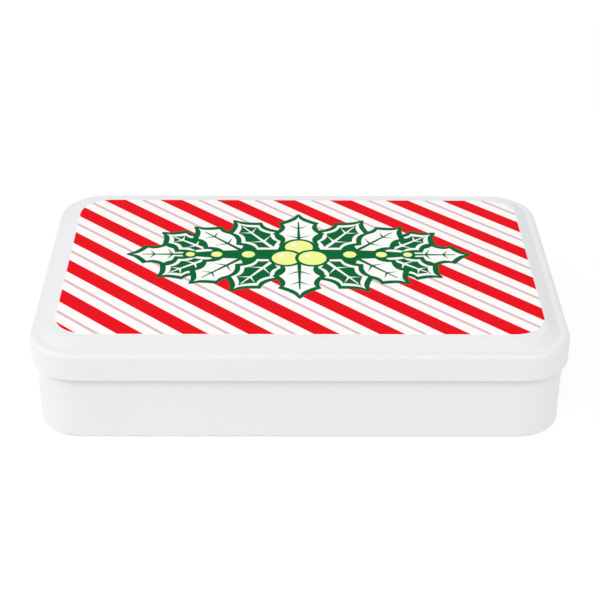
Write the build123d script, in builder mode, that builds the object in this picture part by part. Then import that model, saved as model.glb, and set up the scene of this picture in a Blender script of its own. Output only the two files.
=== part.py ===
from build123d import *

import os

# A small rectangular mint tin: a drawn base, an overlapping hinged lid, two hinge wires and a printed film.
# Millimetres. X runs left to right, Y front to back and Z up. The origin is the middle of the rest plane.

# Overall sizes
lid_length = 95.0
lid_depth = 62.0
lid_corner_radius = 8.8
rim_height = 17.20
sheet = 0.25

# How the lid sits over the base
skirt_gap = 0.68
rim_gap = 0.30
skirt_height = 5.17

# The stepped top of the lid, measured inwards from the skirt's face
lid_edge_radius = 0.90
shoulder_width = 1.85
slope_run = 2.25
panel_rise = 1.15
slope_bend_radius = 0.40
lid_ring_run = 1.00

# The folded lower edge of the lid's skirt
hem_height = 1.60
hem_edge_radius = 0.10

# The base's foot, its recessed bottom panel and the curl round its mouth
base_edge_radius = 0.80
foot_width = 3.60
recess_run = 0.80
recess_rise = 0.50
recess_bend_radius = 0.40
base_ring_run = 0.80
curl_radius = 0.65
curl_turn_share = 0.75

# The hinges: two wires at the back, each through one knuckle of the base and two ears of the lid
hinge_spacing = 50.0
wire_radius = 0.50
wire_clearance = 0.05
wire_end_chamfer = 0.10
wire_end_setback = 0.10
knuckle_length = 5.00
ear_length = 3.60
knuckle_gap = 0.20
knuckle_turn_share = 0.72
knuckle_bend_radius = 0.15
tongue_straight = 0.20
wall_to_knuckle = 0.20
window_side_gap = 0.15
window_top_gap = 0.35
notch_side_gap = 0.25
notch_above_hem = 0.20
ear_drop = 0.35
ear_jog_bend = 0.30
heel_run = 0.17
heel_inner_radius = 0.10
ear_top_radius = 0.40
ear_end_overlap = 0.05

# The printed film on the raised panel
film_thickness = 0.10
film_side_margin = 0.15
film_front_margin = 1.00
film_corner_radius = 6.00

# How far a cut runs past the sheet that it cuts
overrun = 1.0

# Sizes that follow from those above
shoulder_height = rim_height + rim_gap + sheet
skirt_bottom = shoulder_height - skirt_height
panel_height = shoulder_height + panel_rise
panel_edge = shoulder_width + slope_run
lid_ring_width = panel_edge + lid_ring_run

base_inset = sheet + skirt_gap
base_length = lid_length - 2 * base_inset
base_depth = lid_depth - 2 * base_inset
base_corner_radius = lid_corner_radius - base_inset
recess_edge = foot_width + recess_run
base_ring_width = recess_edge + base_ring_run
curl_center_height = rim_height - curl_radius

bore_radius = wire_radius + wire_clearance
knuckle_radius = bore_radius + sheet
hinge_y = base_depth / 2 + wall_to_knuckle + knuckle_radius
hinge_z = skirt_bottom
ear_offset = knuckle_length / 2 + knuckle_gap
hinge_width = 2 * (ear_offset + ear_length)
notch_top = skirt_bottom + hem_height + notch_above_hem

# A folded piece is drawn as the line in the middle of its sheet, which lies this far from either face
half = sheet / 2


def section_ring(section, length, depth, radius):
    """Carries a wall section round a rounded rectangle, its corners turned about their centres.

    The section's first direction points inwards from the outline, and its second points up.
    """
    corner_x = length / 2 - radius
    corner_y = radius - depth / 2
    front = Plane(origin=(corner_x, -depth / 2, 0), x_dir=(0, 1, 0), z_dir=(1, 0, 0))
    side = Plane(origin=(length / 2, corner_y, 0), x_dir=(-1, 0, 0), z_dir=(0, 1, 0))
    with BuildPart() as ring:
        with BuildSketch(front) as front_section:
            add(section)
        extrude(amount=-corner_x)
        corner_axis = Axis((corner_x, corner_y, 0), (0, 0, 1))
        revolve(front_section.sketch, axis=corner_axis, revolution_arc=90)
        with BuildSketch(side):
            add(section)
        extrude(amount=-corner_y)
        mirror(about=Plane.YZ)
        mirror(about=Plane.XZ)
    return ring.part


def hinge_plane(x):
    """The plane across a hinge at x, with the wire's axis as its origin, pointing back and up."""
    return Plane(origin=(x, hinge_y, hinge_z), x_dir=(0, 1, 0), z_dir=(1, 0, 0))


# The base's wall section, from the recessed panel over the foot and up the wall to the curl at the mouth
with BuildSketch() as base_section:
    with BuildLine():
        FilletPolyline(
            (base_ring_width, recess_rise + half),
            (recess_edge, recess_rise + half),
            (foot_width, half),
            (half, half),
            (half, curl_center_height),
            radius=[recess_bend_radius, recess_bend_radius, base_edge_radius - half],
        )
        CenterArc((curl_radius, curl_center_height), curl_radius - half, 180, -360 * curl_turn_share)
    trace(line_width=sheet)
base_ring = section_ring(base_section.sketch, base_length, base_depth, base_corner_radius)

# The section of a base knuckle: a tongue of the back wall that turns out under the wire and curls over it
wall_face = -wall_to_knuckle - knuckle_radius
tongue_root = -knuckle_radius - knuckle_bend_radius - tongue_straight
with BuildSketch() as knuckle_section:
    with BuildLine():
        FilletPolyline(
            (wall_face - half, tongue_root),
            (wall_face - half, -bore_radius - half),
            (0, -bore_radius - half),
            radius=knuckle_bend_radius + half,
        )
        CenterArc((0, 0), bore_radius + half, 270, 360 * knuckle_turn_share)
    trace(line_width=sheet)

window_bottom = hinge_z + tongue_root
window_top = curl_center_height - curl_radius - window_top_gap

with BuildPart() as base_shell:
    add(base_ring)
    with BuildSketch(Plane.XY.offset(recess_rise)):
        RectangleRounded(
            base_length - 2 * base_ring_width,
            base_depth - 2 * base_ring_width,
            base_corner_radius - base_ring_width,
        )
    extrude(amount=sheet)
    with BuildSketch(Plane.XZ.offset(-base_depth / 2 - overrun)):
        with Locations((0, (window_bottom + window_top) / 2)):
            with GridLocations(hinge_spacing, 0, 2, 1):
                Rectangle(knuckle_length + 2 * window_side_gap, window_top - window_bottom)
    extrude(amount=overrun + sheet + curl_radius, mode=Mode.SUBTRACT)
    for x in (-hinge_spacing / 2, hinge_spacing / 2):
        with BuildSketch(hinge_plane(x - knuckle_length / 2)):
            add(knuckle_section.sketch)
        extrude(amount=knuckle_length)

# The lid's wall section, from the raised panel down the slope, over the shoulder and down to the hem
with BuildSketch() as lid_section:
    with BuildLine():
        FilletPolyline(
            (lid_ring_width, panel_height - half),
            (panel_edge, panel_height - half),
            (shoulder_width, shoulder_height - half),
            (half, shoulder_height - half),
            (half, skirt_bottom + sheet),
            radius=[slope_bend_radius, slope_bend_radius, lid_edge_radius - half],
        )
    trace(line_width=sheet)
    with BuildSketch(mode=Mode.PRIVATE) as hem:
        with Locations((sheet, skirt_bottom + hem_height / 2)):
            Rectangle(2 * sheet, hem_height)
        fillet(hem.vertices().group_by(Axis.Y)[0], sheet - hem_edge_radius)
        fillet(hem.vertices().group_by(Axis.Y)[-1].sort_by(Axis.X)[-1], hem_edge_radius)
    add(hem.sketch)
lid_ring = section_ring(lid_section.sketch, lid_length, lid_depth, lid_corner_radius)

# The section of a lid ear: it leaves the skirt, jogs in before the wire, runs under it to a square heel
# and closes over the top. The heel meets the base's back wall when the lid is right back.
skirt_face = lid_depth / 2 - hinge_y
ear_top = notch_top - hinge_z
heel = bore_radius + heel_run
with BuildSketch() as ear_section:
    with BuildLine():
        FilletPolyline(
            (skirt_face - half, ear_top),
            (skirt_face - half, ear_top - ear_drop),
            (-bore_radius - half, bore_radius),
            (-bore_radius - half, -bore_radius - half),
            (heel + half, -bore_radius - half),
            (heel + half, bore_radius + half),
            (ear_end_overlap, bore_radius + half),
            radius=[
                ear_jog_bend,
                ear_jog_bend,
                bore_radius + half,
                heel_inner_radius + half,
                ear_top_radius + half,
            ],
        )
    trace(line_width=sheet)

with BuildPart() as lid_shell:
    add(lid_ring)
    with BuildSketch(Plane.XY.offset(panel_height - sheet)):
        RectangleRounded(
            lid_length - 2 * lid_ring_width,
            lid_depth - 2 * lid_ring_width,
            lid_corner_radius - lid_ring_width,
        )
    extrude(amount=sheet)
    with BuildSketch(Plane.XZ.offset(-lid_depth / 2 - overrun)):
        with Locations((0, (skirt_bottom - overrun + notch_top) / 2)):
            with GridLocations(hinge_spacing, 0, 2, 1):
                Rectangle(hinge_width + 2 * notch_side_gap, notch_top - skirt_bottom + overrun)
    extrude(amount=overrun + 2 * sheet + skirt_gap, mode=Mode.SUBTRACT)
    for x in (-hinge_spacing / 2, hinge_spacing / 2):
        for ear_start in (x - hinge_width / 2, x + ear_offset):
            with BuildSketch(hinge_plane(ear_start)):
                add(ear_section.sketch)
            extrude(amount=ear_length)


def hinge_wire(x):
    """A straight piece of wire through one hinge, chamfered at both ends."""
    length = hinge_width - 2 * wire_end_setback
    with BuildPart() as wire:
        with BuildSketch(hinge_plane(x - length / 2)):
            Circle(wire_radius)
        extrude(amount=length)
        chamfer(wire.edges().filter_by(GeomType.CIRCLE), wire_end_chamfer)
    return wire


hinge_pin_left = hinge_wire(-hinge_spacing / 2)
hinge_pin_right = hinge_wire(hinge_spacing / 2)

with BuildPart() as lid_film:
    with BuildSketch(Plane.XY.offset(panel_height)):
        RectangleRounded(
            lid_length - 2 * (panel_edge + film_side_margin),
            lid_depth - 2 * (panel_edge + film_front_margin),
            film_corner_radius,
        )
    extrude(amount=film_thickness)

pieces = {
    "base_shell": base_shell,
    "lid_shell": lid_shell,
    "lid_film": lid_film,
    "hinge_pin_left": hinge_pin_left,
    "hinge_pin_right": hinge_pin_right,
}
os.makedirs("parts", exist_ok=True)
for name, piece in pieces.items():
    piece.part.label = name
    export_step(piece.part, f"parts/{name}.step")
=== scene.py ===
import math

import bmesh
import bpy
from mathutils import Matrix, Vector
from mathutils.geometry import delaunay_2d_cdt


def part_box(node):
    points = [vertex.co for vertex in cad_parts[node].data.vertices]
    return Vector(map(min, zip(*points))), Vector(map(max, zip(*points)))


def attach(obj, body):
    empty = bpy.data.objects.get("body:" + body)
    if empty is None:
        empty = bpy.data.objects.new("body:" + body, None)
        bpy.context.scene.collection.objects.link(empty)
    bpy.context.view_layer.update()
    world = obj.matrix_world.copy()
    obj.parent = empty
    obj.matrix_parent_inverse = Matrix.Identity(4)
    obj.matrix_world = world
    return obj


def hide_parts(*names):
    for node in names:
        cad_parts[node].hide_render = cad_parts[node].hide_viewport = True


# A white mint tin with a hinged lid and a candy-striped film on its raised panel.
# Blender's objects are in metres. The tin's sizes named here are in millimetres, times MM where it is made.
# The lamps' and the floor's sizes are in metres. A finish's scales are in spots to the metre, and its depths
# are in metres.

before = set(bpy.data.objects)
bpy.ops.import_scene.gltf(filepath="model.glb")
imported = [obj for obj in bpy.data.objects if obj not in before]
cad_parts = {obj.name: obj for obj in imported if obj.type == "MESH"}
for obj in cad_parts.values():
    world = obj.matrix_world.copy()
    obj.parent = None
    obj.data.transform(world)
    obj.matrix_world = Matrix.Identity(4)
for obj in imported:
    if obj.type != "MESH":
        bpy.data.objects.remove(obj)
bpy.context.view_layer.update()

MM = 0.001
WHITE = (1.0, 1.0, 1.0, 1.0)


# Camera, with its angles in radians

CAMERA_PLACE = Vector((-3.675, -256.130, 160.433)) * MM
CAMERA_PITCH = 0.528811627
CAMERA_YAW = 0.01516
CAMERA_ROLL = 0.009467032
PICTURE_WIDTH = 600
FOCAL_PIXELS = 1557.645
SENSOR_WIDTH = 36.0


def place_camera():
    """The camera stands at the photograph's place and looks down at the tin's long front side."""
    data = bpy.data.cameras.new("camera")
    data.sensor_width = SENSOR_WIDTH
    data.lens = FOCAL_PIXELS / PICTURE_WIDTH * SENSOR_WIDTH
    camera = bpy.data.objects.new("camera", data)
    bpy.context.scene.collection.objects.link(camera)
    turn = Matrix.Rotation(-CAMERA_YAW, 4, "Z")
    tilt = Matrix.Rotation(math.pi / 2 - CAMERA_PITCH, 4, "X")
    roll = Matrix.Rotation(CAMERA_ROLL, 4, "Z")
    camera.matrix_world = Matrix.Translation(CAMERA_PLACE) @ turn @ tilt @ roll
    bpy.context.scene.camera = camera


# Shader helpers. A term is a plain number or colour, or another node's output.

# Noise runs from 0 to 1 about this middle, and is mostly between the low and the high
NOISE_LOW = 0.3
NOISE_MIDDLE = 0.5
NOISE_HIGH = 0.7


def give(tree, socket, term):
    """Sets an input socket to a plain term, or joins another node's output to it."""
    if isinstance(term, bpy.types.NodeSocket):
        tree.links.new(term, socket)
    else:
        socket.default_value = term


def add_node(tree, kind, terms=None, **settings):
    """A new node. terms go to its input sockets by name or number, and settings to the node itself."""
    node = tree.nodes.new(kind)
    for name, value in settings.items():
        setattr(node, name, value)
    for name, term in (terms or {}).items():
        give(tree, node.inputs[name], term)
    return node


def math_node(tree, operation, *terms):
    """A Math node's output."""
    return add_node(tree, "ShaderNodeMath", dict(enumerate(terms)), operation=operation).outputs[0]


def ramp(tree, value, low, high, to_low, to_high):
    """value carried from low..high to to_low..to_high, and held at the ends."""
    terms = {"Value": value, "From Min": low, "From Max": high, "To Min": to_low, "To Max": to_high}
    return add_node(tree, "ShaderNodeMapRange", terms).outputs["Result"]


def blend_colors(tree, mask, color_off, color_on):
    """color_on where mask is 1 and color_off where it is 0."""
    node = add_node(tree, "ShaderNodeMix", {"Factor": mask}, data_type="RGBA")
    sockets = [socket for socket in node.inputs if socket.type == "RGBA"]
    for socket, color in zip(sockets, (color_off, color_on)):
        give(tree, socket, color)
    return next(socket for socket in node.outputs if socket.type == "RGBA")


def own_place(tree):
    """The place on the piece itself, in metres, which moves with the piece."""
    return add_node(tree, "ShaderNodeTexCoord").outputs["Object"]


def noise(tree, place, scale, detail=2.0):
    """Soft noise at this place."""
    terms = {"Vector": place, "Scale": scale, "Detail": detail}
    return add_node(tree, "ShaderNodeTexNoise", terms).outputs["Fac"]


def clouds(tree, scale, levels):
    """A value that drifts between two levels in soft clouds."""
    return ramp(tree, noise(tree, own_place(tree), scale), NOISE_LOW, NOISE_HIGH, *levels)


def bump(tree, height):
    """A normal that leans with a height in metres."""
    return add_node(tree, "ShaderNodeBump", {"Distance": 1.0, "Height": height}).outputs["Normal"]


def new_material(name):
    """An empty material with nodes and an output, as (material, tree, output)."""
    material = bpy.data.materials.new(name)
    material.use_nodes = True
    tree = material.node_tree
    tree.nodes.clear()
    output = add_node(tree, "ShaderNodeOutputMaterial")
    return material, tree, output


def new_group(name, inputs, outputs):
    """An empty shader node group with these sockets, as (group, its inputs, its output node)."""
    group = bpy.data.node_groups.new(name, "ShaderNodeTree")
    for label, kind in inputs.items():
        group.interface.new_socket(label, in_out="INPUT", socket_type=f"NodeSocket{kind}")
    for label, kind in outputs.items():
        group.interface.new_socket(label, in_out="OUTPUT", socket_type=f"NodeSocket{kind}")
    return group, group.nodes.new("NodeGroupInput").outputs, group.nodes.new("NodeGroupOutput")


def use_group(tree, group, terms):
    """The outputs of a node group placed in this tree with its own terms."""
    return add_node(tree, "ShaderNodeGroup", terms, node_tree=group).outputs


# Effects that several finishes share

STREAK_DETAIL = 4.0
SCUFF_DETAIL = 3.0
SCUFF_TURNS = (0.5, 2.1)
SCUFF_THINNESS = 14.0


def make_mottle():
    """Lets a colour's lightness drift a little from place to place."""
    sockets = {"Color": "Color", "Scale": "Float", "Amount": "Float"}
    group, given, result = new_group("mottle", sockets, {"Color": "Color"})
    drift = math_node(group, "SUBTRACT", noise(group, own_place(group), given["Scale"]), NOISE_MIDDLE)
    factor = math_node(group, "MULTIPLY_ADD", drift, given["Amount"], 1.0)
    terms = {"Vector": given["Color"], "Scale": factor}
    tint = add_node(group, "ShaderNodeVectorMath", terms, operation="SCALE")
    give(group, result.inputs["Color"], tint.outputs["Vector"])
    return group


def make_unevenness():
    """The height of a fine skin texture on top of a thin sheet's broad waviness."""
    sockets = {"Fine Scale": "Float", "Fine Depth": "Float", "Broad Scale": "Float", "Broad Depth": "Float"}
    group, given, result = new_group("unevenness", sockets, {"Height": "Float"})
    place = own_place(group)
    fine = math_node(group, "MULTIPLY", noise(group, place, given["Fine Scale"]), given["Fine Depth"])
    broad = noise(group, place, given["Broad Scale"], detail=0.0)
    total = math_node(group, "MULTIPLY_ADD", broad, given["Broad Depth"], fine)
    give(group, result.inputs["Height"], total)
    return group


def make_streaks():
    """Noise drawn out into streaks. Stretch is in spots to the metre along X, Y and Z."""
    group, given, result = new_group("streaks", {"Stretch": "Vector"}, {"Value": "Float"})
    terms = {0: own_place(group), 1: given["Stretch"]}
    stretch = add_node(group, "ShaderNodeVectorMath", terms, operation="MULTIPLY")
    value = noise(group, stretch.outputs["Vector"], 1.0, STREAK_DETAIL)
    give(group, result.inputs["Value"], value)
    return group


def make_scuffs():
    """A mask of faint hairline rubs that cross in two directions."""
    group, given, result = new_group("scuffs", {"Scale": "Float", "Share": "Float"}, {"Mask": "Float"})
    edge = math_node(group, "SUBTRACT", 1.0, given["Share"])
    thin = (1.0, SCUFF_THINNESS, SCUFF_THINNESS)
    total = 0.0
    for turn in SCUFF_TURNS:
        terms = {"Vector": own_place(group), "Rotation": (turn, turn, turn), "Scale": thin}
        lay = add_node(group, "ShaderNodeMapping", terms)
        value = noise(group, lay.outputs["Vector"], given["Scale"], SCUFF_DETAIL)
        hairs = ramp(group, value, edge, 1.0, 0.0, 1.0)
        total = math_node(group, "MAXIMUM", hairs, total)
    give(group, result.inputs["Mask"], total)
    return group


mottle = make_mottle()
unevenness = make_unevenness()
streaks = make_streaks()
scuffs = make_scuffs()


def scuffed(tree, roughness, scuff_values, rise):
    """The roughness, raised by rise along the scuffs."""
    hairs = use_group(tree, scuffs, scuff_values)["Mask"]
    return math_node(tree, "MULTIPLY_ADD", hairs, rise, roughness)


def finish_material(material, tree, output, color, roughness, normal, constants):
    """Joins a finish's colour, roughness and normal to one Principled shader, which holds its constants."""
    terms = {"Base Color": color, "Roughness": roughness, "Normal": normal, **constants}
    surface = add_node(tree, "ShaderNodeBsdfPrincipled", terms)
    give(tree, output.inputs["Surface"], surface.outputs["BSDF"])
    return material


# White enamel on the outside of the sheet

ENAMEL_COLOR = (0.765, 0.771, 0.784, 1.0)
ENAMEL_DRIFT = {"Scale": 55.0, "Amount": 0.012}
ENAMEL_CLOUD_SCALE = 90.0
ENAMEL_ROUGHNESS = (0.42, 0.48)
ENAMEL_SCUFFS = {"Scale": 70.0, "Share": 0.36}
ENAMEL_SCUFF_RISE = 0.10
ENAMEL_SKIN = {"Fine Scale": 850.0, "Fine Depth": 5.0e-6, "Broad Scale": 45.0, "Broad Depth": 2.5e-5}
RUBBED_ENAMEL_COLOR = (0.70, 0.70, 0.70, 1.0)
FOOT_RUB_HEIGHT = 0.12
FOOT_RUB_SCALE = 240.0
FOOT_RUB_DETAIL = 4.0
FOOT_RUB_EDGE = (0.50, 0.72)
FOOT_RUB_STRENGTH = 0.8


def foot_rub(tree):
    """A mask of the grey marks that tables leave on the lowest line of the foot."""
    place = own_place(tree)
    height = add_node(tree, "ShaderNodeSeparateXYZ", {"Vector": place}).outputs["Z"]
    low = ramp(tree, height, 0.0, FOOT_RUB_HEIGHT * MM, 1.0, 0.0)
    spots = noise(tree, place, FOOT_RUB_SCALE, FOOT_RUB_DETAIL)
    patches = ramp(tree, spots, *FOOT_RUB_EDGE, 0.0, FOOT_RUB_STRENGTH)
    return math_node(tree, "MULTIPLY", low, patches)


def make_enamel():
    """White enamel with the faintest drift in colour, hairline scuffs and a rubbed foot."""
    material, tree, output = new_material("white_enamel")
    drift = use_group(tree, mottle, {"Color": ENAMEL_COLOR, **ENAMEL_DRIFT})["Color"]
    color = blend_colors(tree, foot_rub(tree), drift, RUBBED_ENAMEL_COLOR)
    cloud = clouds(tree, ENAMEL_CLOUD_SCALE, ENAMEL_ROUGHNESS)
    roughness = scuffed(tree, cloud, ENAMEL_SCUFFS, ENAMEL_SCUFF_RISE)
    normal = bump(tree, use_group(tree, unevenness, ENAMEL_SKIN)["Height"])
    return finish_material(material, tree, output, color, roughness, normal, {})


# Tinplate on the inside of the sheet, bare steel where it is cut, and bright drawn wire

TINPLATE_COLOR = (0.63, 0.63, 0.62, 1.0)
CUT_STEEL_COLOR = (0.50, 0.50, 0.51, 1.0)
WIRE_COLOR = (0.66, 0.66, 0.67, 1.0)
METAL_DRIFT_SCALE = 160.0
METAL_SCUFFS = {"Scale": 90.0, "Share": 0.36}
METAL_SCUFF_RISE = 0.12
METAL_SKIN = {"Fine Scale": 1800.0, "Fine Depth": 3.0e-7, "Broad Scale": 55.0}


def make_metal(name, base_color, drift, stretch, streak_depth, waviness, roughness_range):
    """A bare metal whose rolled or drawn grain runs the way of the streaks."""
    material, tree, output = new_material(name)
    drift_values = {"Scale": METAL_DRIFT_SCALE, "Amount": drift}
    color = use_group(tree, mottle, {"Color": base_color, **drift_values})["Color"]
    grain = use_group(tree, streaks, {"Stretch": stretch})["Value"]
    grain_roughness = ramp(tree, grain, NOISE_LOW, NOISE_HIGH, *roughness_range)
    roughness = scuffed(tree, grain_roughness, METAL_SCUFFS, METAL_SCUFF_RISE)
    skin = use_group(tree, unevenness, {**METAL_SKIN, "Broad Depth": waviness})["Height"]
    normal = bump(tree, math_node(tree, "MULTIPLY_ADD", grain, streak_depth, skin))
    return finish_material(material, tree, output, color, roughness, normal, {"Metallic": 1.0})


def make_tinplate():
    """Tinplate rolled along the tin, bright and a little wavy."""
    return make_metal(
        "bare_tinplate",
        TINPLATE_COLOR,
        drift=0.06,
        stretch=(40.0, 5200.0, 5200.0),
        streak_depth=6.0e-7,
        waviness=3.0e-5,
        roughness_range=(0.27, 0.37),
    )


def make_cut_steel():
    """The sheet's cut edge, rough and with no grain."""
    return make_metal(
        "cut_steel",
        CUT_STEEL_COLOR,
        drift=0.20,
        stretch=(900.0, 900.0, 900.0),
        streak_depth=8.0e-6,
        waviness=0.0,
        roughness_range=(0.38, 0.55),
    )


def make_wire():
    """Bright wire with the fine lines of drawing along it."""
    return make_metal(
        "drawn_wire",
        WIRE_COLOR,
        drift=0.10,
        stretch=(70.0, 5000.0, 5000.0),
        streak_depth=2.5e-6,
        waviness=0.0,
        roughness_range=(0.18, 0.34),
    )


# The printed film's matt inks

PAPER_COLOR = (0.955, 0.930, 0.918, 1.0)
BAND_COLOR = (0.805, 0.0050, 0.0120, 1.0)
LINE_COLOR = (0.700, 0.497, 0.525, 1.0)
LEAF_COLOR = (0.0006, 0.128, 0.0330, 1.0)
BERRY_COLOR = (0.871, 0.930, 0.305, 1.0)
SNOW_COLOR = (0.955, 0.955, 0.930, 1.0)
STRIPE_ANGLE = math.radians(44.3)
STRIPE_SPACING = 7.956
STRIPE_START = 0.62
BAND_WIDTH = 3.17
LINE_WIDTH = 0.62
INK_BLUR = 0.03
INK_DRIFT = {"Scale": 1400.0, "Amount": 0.05}
INK_CLOUD_SCALE = 220.0
INK_ROUGHNESS = (0.38, 0.46)
INK_SCUFFS = {"Scale": 60.0, "Share": 0.36}
INK_SCUFF_RISE = 0.10
INK_SKIN = {"Fine Scale": 2400.0, "Fine Depth": 1.5e-6, "Broad Scale": 60.0, "Broad Depth": 1.5e-5}
INK_CONSTANTS = {"Specular IOR Level": 0.01}


def stripe_distance(tree):
    """How far, in millimetres, a place on the film lies from the middle of the nearest red band."""
    lean = (math.sin(STRIPE_ANGLE) / MM, math.cos(STRIPE_ANGLE) / MM, 0.0)
    terms = {0: own_place(tree), 1: lean}
    across = add_node(tree, "ShaderNodeVectorMath", terms, operation="DOT_PRODUCT")
    shifted = math_node(tree, "SUBTRACT", across.outputs["Value"], STRIPE_START)
    return math_node(tree, "PINGPONG", shifted, STRIPE_SPACING / 2)


def stripe_color(tree):
    """White paper with broad red bands and one fine pink line midway between them."""
    distance = stripe_distance(tree)
    band_edge = BAND_WIDTH / 2
    line_edge = (STRIPE_SPACING - LINE_WIDTH) / 2
    band = ramp(tree, distance, band_edge - INK_BLUR, band_edge + INK_BLUR, 1.0, 0.0)
    line = ramp(tree, distance, line_edge - INK_BLUR, line_edge + INK_BLUR, 0.0, 1.0)
    return blend_colors(tree, band, blend_colors(tree, line, PAPER_COLOR, LINE_COLOR), BAND_COLOR)


# Each ink's material, and its colour or what works out its colour in the material's tree
INKS = {
    "stripes": ("stripe_print", stripe_color),
    "leaf_green": ("leaf_green_ink", LEAF_COLOR),
    "snow_white": ("snow_white_ink", SNOW_COLOR),
    "berry_yellow": ("berry_yellow_ink", BERRY_COLOR),
    "film_edge": ("film_edge", PAPER_COLOR),
}
INK_ORDER = list(INKS)


def make_ink(name, color):
    """A matt printed ink with the press's slight drift in colour."""
    material, tree, output = new_material(name)
    plain = color(tree) if callable(color) else color
    drift = use_group(tree, mottle, {"Color": plain, **INK_DRIFT})["Color"]
    cloud = clouds(tree, INK_CLOUD_SCALE, INK_ROUGHNESS)
    roughness = scuffed(tree, cloud, INK_SCUFFS, INK_SCUFF_RISE)
    normal = bump(tree, use_group(tree, unevenness, INK_SKIN)["Height"])
    return finish_material(material, tree, output, drift, roughness, normal, INK_CONSTANTS)


# The shape of a holly leaf in print

PRICKLES = 3
# The first prickle's place, and the room past the last, in gaps between prickles
FIRST_PRICKLE = 0.62
TIP_ROOM = 0.45
# The leaf bellies out as part of a sine arch does, from this share of the arch and over this much of it,
# and the power makes it fuller
BELLY_START = 0.12
BELLY_SPAN = 0.80
BELLY_POWER = 0.9
# The hollow before each prickle: how far along its deepest place is, and how deep it is for the leaf's width.
# The one at the stalk is shallower, and no side comes nearer to the midrib than the stalk's half width.
HOLLOW_STEPS = 6
HOLLOW_LEAN = 0.55
HOLLOW_SINK = 0.19
STALK_HOLLOW_SHARE = 0.7
STALK_HALF = 0.12
# How far the green rim stands out along and across the leaf, and how far its sides are lifted
RIM = 0.95
RIM_ALONG = 2.6 * RIM
RIM_ACROSS = 2.0 * RIM
RIM_LIFT = 0.35 * RIM
# How far a dark core stands in along and across the leaf
CORE = 1.15
CORE_ALONG = -2.1 * CORE
CORE_ACROSS = -1.7 * CORE
# The midrib's start and half widths, and its end for the leaf's length
MIDRIB_ROOT = -0.5
MIDRIB_ROOT_HALF = 0.45
MIDRIB_END_HALF = 0.12
MIDRIB_END_SHARE = 0.84
# A side vein's slant for the leaf's length, its width at the midrib, and how near it comes to its prickle
VEIN_SLANT = 0.15
VEIN_WIDTH = 0.55
VEIN_SHORTFALL = 0.25
VEIN_REACH = 0.66


def prickle_tips(length, width):
    """Where the prickles of one side of a leaf end, from its stalk to its tip."""
    tips = []
    for count in range(PRICKLES):
        share = (count + FIRST_PRICKLE) / (PRICKLES + TIP_ROOM)
        reach = math.sin(math.pi * (BELLY_START + BELLY_SPAN * share)) ** BELLY_POWER
        tips.append(Vector((length * share, width / 2 * reach)))
    return tips


def holly_outline(length, width):
    """A holly leaf from its stalk at the origin to its tip on X, with a round hollow before each prickle."""
    spots = [Vector((0.0, 0.0))] + prickle_tips(length, width) + [Vector((length, 0.0))]
    upper = [spots[0]]
    for count, (start, end) in enumerate(zip(spots, spots[1:])):
        sink = HOLLOW_SINK * width * (STALK_HOLLOW_SHARE if count == 0 else 1.0)
        middle = start.lerp(end, HOLLOW_LEAN)
        middle.y = (start.y + end.y) / 2 - sink
        for step in range(1, HOLLOW_STEPS + 1):
            share = step / HOLLOW_STEPS
            point = start.lerp(middle, share).lerp(middle.lerp(end, share), share)
            upper.append(Vector((point.x, max(point.y, STALK_HALF))))
    upper[-1].y = 0.0
    lower = [Vector((point.x, -point.y)) for point in reversed(upper[1:-1])]
    return upper + lower


def swollen(outline, length, width, along, across, lift=0.0):
    """The outline stretched about the leaf's middle by along and across, with its sides lifted by lift."""
    middle = length / 2
    points = []
    for point in outline:
        x = middle + (point.x - middle) * (length + along) / length
        y = point.y * (width + across) / width
        if point.y:
            y += math.copysign(lift, point.y)
        points.append(Vector((x, y)))
    return points


def midrib(length):
    """The tapered vein along the middle of a leaf."""
    end = length * MIDRIB_END_SHARE
    below = [Vector((MIDRIB_ROOT, -MIDRIB_ROOT_HALF)), Vector((end, -MIDRIB_END_HALF))]
    above = [Vector((end, MIDRIB_END_HALF)), Vector((MIDRIB_ROOT, MIDRIB_ROOT_HALF))]
    return below + above


def side_vein(tip, length, side):
    """A thin tapered vein from the midrib towards one prickle."""
    root = tip.x - length * VEIN_SLANT
    end = Vector((tip.x - VEIN_SHORTFALL * (tip.x - root), side * tip.y * VEIN_REACH))
    return [Vector((root, 0.0)), Vector((root + VEIN_WIDTH, 0.0)), end]


def laid(points, place, turn):
    """Points of a flat shape, turned and moved to their place on the film."""
    rotation = Matrix.Rotation(turn, 2)
    return [rotation @ point + place for point in points]


def holly_leaf(place, turn, length, width, dark):
    """The printed shapes of one leaf, from the lowest ink to the topmost, as (outline, ink)."""
    outline = holly_outline(length, width)
    rim = swollen(outline, length, width, RIM_ALONG, RIM_ACROSS, RIM_LIFT)
    shapes = [(rim, "leaf_green"), (outline, "snow_white")]
    vein_ink = "leaf_green"
    if dark:
        core = swollen(outline, length, width, CORE_ALONG, CORE_ACROSS)
        shapes.append((core, "leaf_green"))
        vein_ink = "snow_white"
    shapes.append((midrib(length), vein_ink))
    for tip in prickle_tips(length, width):
        for side in (-1, 1):
            shapes.append((side_vein(tip, length, side), vein_ink))
    return [(laid(points, place, turn), ink) for points, ink in shapes]


# The ornament's other shapes, and where everything in it lies on the film

CIRCLE_STEPS = 72
BERRY_RIM = 0.65
# The shine on a berry, for the berry's radius
SHINE_PLACE = Vector((-0.28, 0.30))
SHINE_RADIUS = 0.16
ORNAMENT_CENTER = Vector((0.0, 3.0))
# The long ovals of green ground behind the stalks and of the twig in front of them, as (length, width)
GROUND_SIZE = (38.0, 11.0)
TWIG_SIZE = (43.0, 4.0)
# Each pair of leaves, one above the other: its place along the ornament, tilt in degrees, length and width,
# and whether its core is dark
LEAF_PAIRS = (
    (16.5, 38, 11.5, 6.6, True),
    (10.5, 46, 13.0, 7.2, False),
    (4.0, 56, 14.5, 7.8, True),
)
PAIR_HALF_GAP = 1.1
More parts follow.
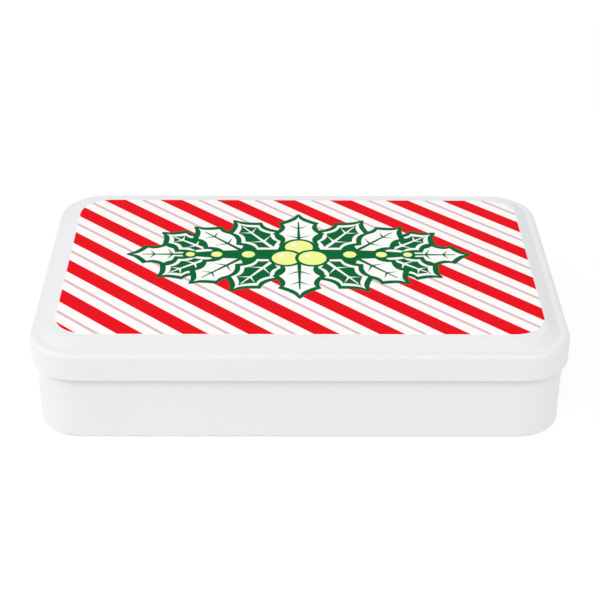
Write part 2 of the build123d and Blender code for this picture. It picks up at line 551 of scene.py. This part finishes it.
# The leaf at either end, and the upright ones in the middle: distance from the middle, length and width
END_LEAF = (20.0, 11.5, 6.6)
MIDDLE_LEAF = (2.0, 13.5, 7.6)
# Each small berry's distance from the middle, and its radius
SMALL_BERRIES = ((9.6, 1.9), (15.6, 1.7), (20.6, 1.5))
BIG_BERRY_RADIUS = 3.3
BIG_BERRY_DISTANCE = 2.9
BIG_BERRY_TURNS = (90, 210, 330)


def circle(place, radius):
    """A circle, as its points."""
    turns = [2 * math.pi * step / CIRCLE_STEPS for step in range(CIRCLE_STEPS)]
    return [place + radius * Vector((math.cos(turn), math.sin(turn))) for turn in turns]


def spindle(length, width):
    """A long oval along the middle of the ornament."""
    points = circle(Vector((0.0, 0.0)), 1.0)
    return [ORNAMENT_CENTER + Vector((point.x * length / 2, point.y * width / 2)) for point in points]


def berry(place, radius):
    """The printed shapes of one berry with a small shine on it."""
    shine = place + radius * SHINE_PLACE
    return [
        (circle(place, radius), "leaf_green"),
        (circle(place, radius - BERRY_RIM), "berry_yellow"),
        (circle(shine, radius * SHINE_RADIUS), "snow_white"),
    ]


def holly_spray(side):
    """The leaves on one side of the ornament, as (outline, ink)."""
    facing = 0.0 if side > 0 else math.pi
    start, length, width = END_LEAF
    place = ORNAMENT_CENTER + Vector((side * start, 0.0))
    shapes = holly_leaf(place, facing, length, width, False)
    for along, tilt, length, width, dark in LEAF_PAIRS:
        for up in (1, -1):
            place = ORNAMENT_CENTER + Vector((side * along, up * PAIR_HALF_GAP))
            turn = facing + side * up * math.radians(tilt)
            shapes += holly_leaf(place, turn, length, width, dark)
    return shapes


def ornament():
    """A plain holly garland with three berries in its middle."""
    shapes = [(spindle(*GROUND_SIZE), "leaf_green")] + holly_spray(-1) + holly_spray(1)
    start, length, width = MIDDLE_LEAF
    for up in (1, -1):
        place = ORNAMENT_CENTER + Vector((0.0, up * start))
        shapes += holly_leaf(place, up * math.pi / 2, length, width, False)
    shapes.append((spindle(*TWIG_SIZE), "leaf_green"))
    for side in (-1, 1):
        for along, radius in SMALL_BERRIES:
            shapes += berry(ORNAMENT_CENTER + Vector((side * along, 0.0)), radius)
    for turn in map(math.radians, BIG_BERRY_TURNS):
        place = ORNAMENT_CENTER + BIG_BERRY_DISTANCE * Vector((math.cos(turn), math.sin(turn)))
        shapes += berry(place, BIG_BERRY_RADIUS)
    return shapes


# The film's mesh

FILM_LOW, FILM_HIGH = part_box("lid_film")
FILM_CORNER_RADIUS = 6.00
FILM_CORNER_STEPS = 20
FILM_EDGE_RADIUS = 0.05
FILM_EDGE_STEPS = 3
TRIANGLES_INSIDE_LOOPS = 1
MERGE_DISTANCE = 1e-5


def rounded_rectangle(length, depth, radius, steps):
    """A rounded rectangle round the origin, counterclockwise."""
    points = []
    for count, (side_x, side_y) in enumerate(((1, 1), (-1, 1), (-1, -1), (1, -1))):
        center = Vector((side_x * (length / 2 - radius), side_y * (depth / 2 - radius)))
        for step in range(steps + 1):
            turn = math.pi / 2 * (count + step / steps)
            points.append(center + radius * Vector((math.cos(turn), math.sin(turn))))
    return points


def film_rings():
    """The film's edge from its underside up and over the rounded brim, as (outline, height) rings."""
    length, depth, height = (FILM_HIGH - FILM_LOW) / MM
    rings = [(0.0, 0.0)]
    for step in range(FILM_EDGE_STEPS + 1):
        turn = math.pi / 2 * step / FILM_EDGE_STEPS
        inset = FILM_EDGE_RADIUS * (1 - math.cos(turn))
        rings.append((inset, height - FILM_EDGE_RADIUS * (1 - math.sin(turn))))
    outlines = []
    for inset, up in rings:
        radius = FILM_CORNER_RADIUS - inset
        outline = rounded_rectangle(length - 2 * inset, depth - 2 * inset, radius, FILM_CORNER_STEPS)
        outlines.append((outline, up))
    return outlines


def turned_left(points):
    """The same outline, counterclockwise."""
    area = sum(a.x * b.y - b.x * a.y for a, b in zip(points, points[1:] + points[:1]))
    return points if area > 0 else points[::-1]


def printed_faces(outline):
    """Cuts the film's top into faces along every printed shape, as (points, triangles, ink of each)."""
    shapes = [(outline, "stripes")] + ornament()
    points = []
    loops = []
    for shape, ink in shapes:
        loops.append(list(range(len(points), len(points) + len(shape))))
        points += turned_left(shape)
    cut = delaunay_2d_cdt(points, [], loops, TRIANGLES_INSIDE_LOOPS, MERGE_DISTANCE, True)
    cut_points, _, triangles, _, _, covering_shapes = cut
    inks = [shapes[max(covering)][1] for covering in covering_shapes]
    return cut_points, triangles, inks


def film_mesh():
    """The film's mesh, with a face for every patch of ink."""
    rings = film_rings()
    base = FILM_LOW.z / MM
    middle = (FILM_LOW + FILM_HIGH) / 2 / MM
    mesh_data = bmesh.new()

    def vertex(point, up):
        return mesh_data.verts.new(Vector((point.x + middle.x, point.y + middle.y, base + up)) * MM)

    loops = [[vertex(point, up) for point in outline] for outline, up in rings]
    faces = [(mesh_data.faces.new(loops[0][::-1]), "film_edge")]
    for lower, upper in zip(loops, loops[1:]):
        for count in range(len(lower)):
            after = (count + 1) % len(lower)
            quad = (lower[count], lower[after], upper[after], upper[count])
            faces.append((mesh_data.faces.new(quad), "film_edge"))
    outline, top = rings[-1]
    points, triangles, inks = printed_faces(outline)
    top_vertices = [vertex(point, top) for point in points]
    for triangle, ink in zip(triangles, inks):
        faces.append((mesh_data.faces.new([top_vertices[index] for index in triangle]), ink))
    for face, ink in faces:
        face.material_index = INK_ORDER.index(ink)
    bmesh.ops.remove_doubles(mesh_data, verts=mesh_data.verts, dist=MERGE_DISTANCE * MM)
    bmesh.ops.recalc_face_normals(mesh_data, faces=mesh_data.faces)

    mesh = bpy.data.meshes.new("printed_film")
    mesh_data.to_mesh(mesh)
    mesh_data.free()
    return mesh


def add_film():
    """The printed film on the lid's raised panel."""
    mesh = film_mesh()
    for name, color in INKS.values():
        mesh.materials.append(make_ink(name, color))
    film = bpy.data.objects.new("printed_film", mesh)
    bpy.context.scene.collection.objects.link(film)
    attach(film, "lid")
    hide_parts("lid_film")


# The pressed shells: enamel outside, tinplate inside, bare steel on the cut edges

SHARP_TURN = math.radians(50)
SAME_PLACE_DIGITS = 8
OUTSIDE_SLOT = 0
INSIDE_SLOT = 1
CUT_EDGE_SLOT = 2


def smooth_patches(mesh):
    """The number of the smooth patch that each face is in. Patches meet only at sharp edges."""
    beside = {}
    for face in mesh.polygons:
        corners = [tuple(round(c, SAME_PLACE_DIGITS) for c in mesh.vertices[v].co) for v in face.vertices]
        for start, end in zip(corners, corners[1:] + corners[:1]):
            beside.setdefault(frozenset((start, end)), []).append(face.index)
    neighbours = {face.index: [] for face in mesh.polygons}
    for pair in beside.values():
        if len(pair) == 2:
            first, second = (mesh.polygons[index] for index in pair)
            if first.normal.angle(second.normal, math.pi) < SHARP_TURN:
                neighbours[first.index].append(second.index)
                neighbours[second.index].append(first.index)
    patch = {}
    for face in mesh.polygons:
        waiting = [face.index]
        while waiting:
            index = waiting.pop()
            if index not in patch:
                patch[index] = face.index
                waiting += neighbours[index]
    return patch


def finish_shell(name, enamel, tinplate, cut_steel):
    """Gives a pressed shell's two skins, its largest patches, and its cut edges their own finishes."""
    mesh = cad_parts[name].data
    patch = smooth_patches(mesh)
    areas = {}
    reach = {}
    for face in mesh.polygons:
        number = patch[face.index]
        areas[number] = areas.get(number, 0.0) + face.area
        reach[number] = max(reach.get(number, 0.0), face.center.x)
    skins = sorted(areas, key=areas.get)[-2:]
    outside, inside = sorted(skins, key=reach.get, reverse=True)
    slots = {outside: OUTSIDE_SLOT, inside: INSIDE_SLOT}
    mesh.materials.clear()
    for material in (enamel, tinplate, cut_steel):
        mesh.materials.append(material)
    for face in mesh.polygons:
        face.material_index = slots.get(patch[face.index], CUT_EDGE_SLOT)


def finish_tin():
    """Every finish of the tin."""
    finishes = (make_enamel(), make_tinplate(), make_cut_steel())
    for name in ("base_shell", "lid_shell"):
        finish_shell(name, *finishes)
    wire = make_wire()
    for name in ("hinge_pin_left", "hinge_pin_right"):
        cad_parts[name].data.materials[0] = wire
    add_film()


# Light, floor and backdrop

SKY_LEVEL = 0.436
BACKDROP_LEVEL = 1.0
LAMP_DISTANCE = 0.80
LAMP_SIZE = 0.50
# Each lamp's bearing from the front, turning to the right, and its height above the floor, both in degrees,
# and its power in watts
LAMPS = {
    "front_left_lamp": (-45, 45, 2.26),
    "front_right_lamp": (45, 45, 2.19),
    "left_lamp": (-90, 15, 1.61),
    "back_lamp": (180, 45, 0.83),
}
FLOOR_SIZE = 60.0
FLOOR_GLOW_LEVEL = 1.04
# How much of the floor's look is glow near the tin. It grows to all of it between these two distances.
FLOOR_GLOW_SHARE = 0.75
FLOOR_SHADE_REACH = 0.12
FLOOR_SHADE_END = 0.40


def seen_directly(tree):
    """A value of 1 for camera, glossy and transmission rays, and 0 for the rest."""
    path = add_node(tree, "ShaderNodeLightPath").outputs
    seen_or_mirrored = math_node(tree, "MAXIMUM", path["Is Camera Ray"], path["Is Glossy Ray"])
    return math_node(tree, "MAXIMUM", seen_or_mirrored, path["Is Transmission Ray"])


def light_world():
    """A soft even sky, which shows as plain white where it is seen directly."""
    world = bpy.data.worlds.new("studio")
    world.use_nodes = True
    tree = world.node_tree
    tree.nodes.clear()
    level = ramp(tree, seen_directly(tree), 0.0, 1.0, SKY_LEVEL, BACKDROP_LEVEL)
    background = add_node(tree, "ShaderNodeBackground", {"Color": WHITE, "Strength": level})
    add_node(tree, "ShaderNodeOutputWorld", {"Surface": background.outputs["Background"]})
    bpy.context.scene.world = world


def add_lamp(name, bearing, height, power):
    """A large soft lamp that shines on the tin from this bearing and height."""
    turn = math.radians(bearing)
    rise = math.radians(height)
    direction = Vector((math.sin(turn) * math.cos(rise), -math.cos(turn) * math.cos(rise), math.sin(rise)))
    data = bpy.data.lights.new(name, "AREA")
    data.shape = "SQUARE"
    data.size = LAMP_SIZE
    data.energy = power
    lamp = bpy.data.objects.new(name, data)
    bpy.context.scene.collection.objects.link(lamp)
    lamp.location = direction * LAMP_DISTANCE
    lamp.rotation_euler = direction.to_track_quat("Z", "Y").to_euler()


def make_floor_white():
    """White that keeps the tin's shadow, and is lifted to plain white where it is seen directly."""
    material, tree, output = new_material("floor_white")
    diffuse = add_node(tree, "ShaderNodeBsdfDiffuse", {"Color": WHITE}).outputs["BSDF"]
    glow_terms = {"Color": WHITE, "Strength": FLOOR_GLOW_LEVEL}
    glow = add_node(tree, "ShaderNodeEmission", glow_terms).outputs["Emission"]
    length = add_node(tree, "ShaderNodeVectorMath", {0: own_place(tree)}, operation="LENGTH")
    distance = length.outputs["Value"]
    share = ramp(tree, distance, FLOOR_SHADE_REACH, FLOOR_SHADE_END, FLOOR_GLOW_SHARE, 1.0)
    mask = math_node(tree, "MULTIPLY", seen_directly(tree), share)
    mix = add_node(tree, "ShaderNodeMixShader", {0: mask, 1: diffuse, 2: glow})
    give(tree, output.inputs["Surface"], mix.outputs["Shader"])
    return material


def lay_floor():
    """A plain flat floor that reaches far past every view."""
    half = FLOOR_SIZE / 2
    mesh = bpy.data.meshes.new("floor")
    corners = [(-half, -half, 0), (half, -half, 0), (half, half, 0), (-half, half, 0)]
    mesh.from_pydata(corners, [], [(0, 1, 2, 3)])
    mesh.materials.append(make_floor_white())
    floor = bpy.data.objects.new("floor", mesh)
    bpy.context.scene.collection.objects.link(floor)


place_camera()
light_world()
for lamp_name, lamp_values in LAMPS.items():
    add_lamp(lamp_name, *lamp_values)
lay_floor()
finish_tin()

bpy.context.scene.view_settings.view_transform = "Standard"
